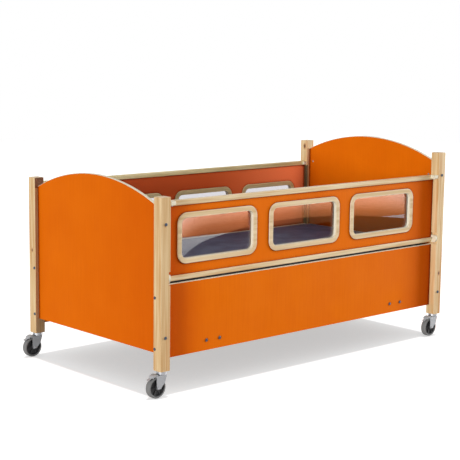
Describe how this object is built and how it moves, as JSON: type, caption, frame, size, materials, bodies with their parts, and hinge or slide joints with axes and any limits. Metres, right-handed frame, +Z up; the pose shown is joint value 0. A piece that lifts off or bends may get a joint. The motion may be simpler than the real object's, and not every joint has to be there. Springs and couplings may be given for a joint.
{
  "type": "pediatric hospital cot",
  "caption": "Children's hospital cot on braked swivel castors, with arched end panels, a windowed fold-down side gate and a mattress on a slatted deck.",
  "frame": {"origin": "on the floor, midway between the four posts", "axes": "+X towards the head end (the higher end panel), +Y towards the fixed side, away from the fold-down gate, +Z up"},
  "size_m": [2.106, 1.082, 1.0959],
  "materials": {
    "post_beech": "clear lacquered beech, satin",
    "rail_beech": "clear lacquered beech, satin",
    "orange_panel": "orange melamine faced plywood, satin, pale plywood edges",
    "frame_beech": "lacquered plywood, satin",
    "clear_pane": "clear acrylic",
    "pale_nylon": "moulded nylon, matte",
    "zinc_steel": "bright zinc plated pressed steel",
    "bolt_steel": "dark blue-grey cap, satin",
    "base_steel": "grey powder coat",
    "deck_wood": "planed beech",
    "mattress_cover": "navy wipe-clean coated fabric",
    "wheel_core": "black moulded polypropylene",
    "grey_tyre": "grey non-marking rubber",
    "dowel_wood": "plain beech"
  },
  "bodies": {
    "frame": {"post_foot_front": "post_beech", "post_foot_rear": "post_beech", "post_head_front": "post_beech", "post_head_rear": "post_beech", "foot_panel": "orange_panel", "head_panel": "orange_panel", "front_lower_panel": "orange_panel", "rear_lower_panel": "orange_panel", "rear_upper_panel": "orange_panel", "rear_top_rail": "rail_beech", "rear_window_frames_inner": "frame_beech", "rear_window_frames_outer": "frame_beech", "rear_window_panes": "clear_pane", "rear_rail_brackets": "pale_nylon", "hinge_pins": "zinc_steel", "castor_stems": "zinc_steel", "swivel_bearings": "zinc_steel", "barrel_nuts": "zinc_steel", "base_nuts": "zinc_steel", "rear_rail_screws": "zinc_steel", "panel_bolts": "bolt_steel", "base_bolts": "bolt_steel", "cross_bearer_foot": "base_steel", "cross_bearer_head": "base_steel", "deck_rails": "deck_wood", "deck_slats": "deck_wood", "rear_panel_dowels": "dowel_wood", "mattress": "mattress_cover"},
    "gate": {"gate_panel": "orange_panel", "gate_top_rail": "rail_beech", "gate_bottom_rail": "rail_beech", "gate_window_panes": "clear_pane", "gate_window_frames_outer": "frame_beech", "gate_window_frames_inner": "frame_beech", "gate_rail_screws": "zinc_steel", "hinge_blocks": "pale_nylon", "latch_housings": "pale_nylon"},
    "latch_foot": {"latch_bolt_foot": "zinc_steel"},
    "latch_head": {"latch_bolt_head": "zinc_steel"},
    "castor_foot_front": {"fork_foot_front": "zinc_steel", "axle_foot_front": "zinc_steel"},
    "wheel_foot_front": {"wheel_foot_front": "wheel_core", "tyre_foot_front": "grey_tyre"},
    "pedal_foot_front": {"brake_pedal_foot_front": "zinc_steel"},
    "castor_foot_rear": {"fork_foot_rear": "zinc_steel", "axle_foot_rear": "zinc_steel"},
    "wheel_foot_rear": {"wheel_foot_rear": "wheel_core", "tyre_foot_rear": "grey_tyre"},
    "pedal_foot_rear": {"brake_pedal_foot_rear": "zinc_steel"},
    "castor_head_front": {"fork_head_front": "zinc_steel", "axle_head_front": "zinc_steel"},
    "wheel_head_front": {"wheel_head_front": "wheel_core", "tyre_head_front": "grey_tyre"},
    "pedal_head_front": {"brake_pedal_head_front": "zinc_steel"},
    "castor_head_rear": {"fork_head_rear": "zinc_steel", "axle_head_rear": "zinc_steel"},
    "wheel_head_rear": {"wheel_head_rear": "wheel_core", "tyre_head_rear": "grey_tyre"},
    "pedal_head_rear": {"brake_pedal_head_rear": "zinc_steel"}
  },
  "joints": [
    {"name": "gate_fold", "type": "hinge", "parent": "frame", "child": "gate", "pos_m": [0, -0.5075, 0.5595], "axis": [1, 0, 0], "range_deg": [0, 175]},
    {"name": "latch_foot_slide", "type": "slide", "parent": "gate", "child": "latch_foot", "axis": [1, 0, 0], "range_m": [-0.01, 0]},
    {"name": "latch_head_slide", "type": "slide", "parent": "gate", "child": "latch_head", "axis": [-1, 0, 0], "range_m": [-0.01, 0]},
    {"name": "castor_swivel_foot_front", "type": "hinge", "parent": "frame", "child": "castor_foot_front", "pos_m": [-0.9955, -0.5105, 0.107], "axis": [0, 0, 1], "continuous": true},
    {"name": "wheel_spin_foot_front", "type": "hinge", "parent": "castor_foot_front", "child": "wheel_foot_front", "pos_m": [-1.0305, -0.5105, 0.05], "axis": [0, 1, 0], "continuous": true},
    {"name": "brake_press_foot_front", "type": "hinge", "parent": "castor_foot_front", "child": "pedal_foot_front", "pos_m": [-1.0355, -0.5105, 0.104], "axis": [0, -1, 0], "range_deg": [0, 12]},
    {"name": "castor_swivel_foot_rear", "type": "hinge", "parent": "frame", "child": "castor_foot_rear", "pos_m": [-0.9955, 0.5105, 0.107], "axis": [0, 0, 1], "continuous": true},
    {"name": "wheel_spin_foot_rear", "type": "hinge", "parent": "castor_foot_rear", "child": "wheel_foot_rear", "pos_m": [-1.0305, 0.5105, 0.05], "axis": [0, 1, 0], "continuous": true},
    {"name": "brake_press_foot_rear", "type": "hinge", "parent": "castor_foot_rear", "child": "pedal_foot_rear", "pos_m": [-1.0355, 0.5105, 0.104], "axis": [0, -1, 0], "range_deg": [0, 12]},
    {"name": "castor_swivel_head_front", "type": "hinge", "parent": "frame", "child": "castor_head_front", "pos_m": [0.9955, -0.5105, 0.107], "axis": [0, 0, 1], "continuous": true},
    {"name": "wheel_spin_head_front", "type": "hinge", "parent": "castor_head_front", "child": "wheel_head_front", "pos_m": [0.9605, -0.5105, 0.05], "axis": [0, 1, 0], "continuous": true},
    {"name": "brake_press_head_front", "type": "hinge", "parent": "castor_head_front", "child": "pedal_head_front", "pos_m": [0.9555, -0.5105, 0.104], "axis": [0, -1, 0], "range_deg": [0, 12]},
    {"name": "castor_swivel_head_rear", "type": "hinge", "parent": "frame", "child": "castor_head_rear", "pos_m": [0.9955, 0.5105, 0.107], "axis": [0, 0, 1], "continuous": true},
    {"name": "wheel_spin_head_rear", "type": "hinge", "parent": "castor_head_rear", "child": "wheel_head_rear", "pos_m": [0.9605, 0.5105, 0.05], "axis": [0, 1, 0], "continuous": true},
    {"name": "brake_press_head_rear", "type": "hinge", "parent": "castor_head_rear", "child": "pedal_head_rear", "pos_m": [0.9555, 0.5105, 0.104], "axis": [0, -1, 0], "range_deg": [0, 12]}
  ]
}
